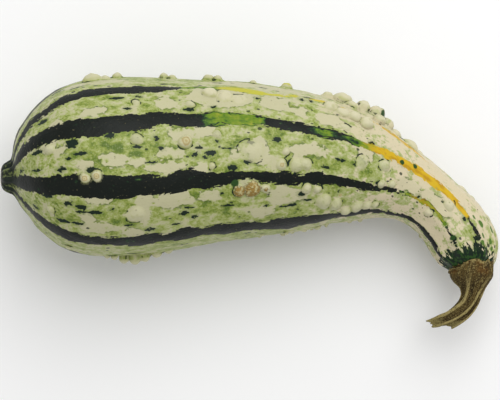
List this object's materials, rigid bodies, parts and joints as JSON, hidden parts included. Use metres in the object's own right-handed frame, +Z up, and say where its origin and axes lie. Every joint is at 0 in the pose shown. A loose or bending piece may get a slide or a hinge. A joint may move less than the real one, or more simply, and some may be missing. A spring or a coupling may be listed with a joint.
{
  "type": "ornamental gourd",
  "caption": "Warty ornamental gourd with a fat striped belly, a bent tapering neck and a short ridged dry stem, lying on its side on a small flat spot.",
  "frame": {"origin": "centre of the footprint on the surface that the gourd lies on", "axes": "+Z up; +X along the belly from the blossom tip towards the neck; the neck and the stem bend towards -Y"},
  "size_m": [0.2238, 0.1158, 0.0831],
  "materials": {
    "rind": "smooth, half-glossy rind, cream mottled green with dark green and yellow stripes",
    "stem": "dry, fibrous and matt, with pale ridges"
  },
  "bodies": {
    "root": {"fruit": "rind", "stem": "stem"}
  },
  "joints": []
}
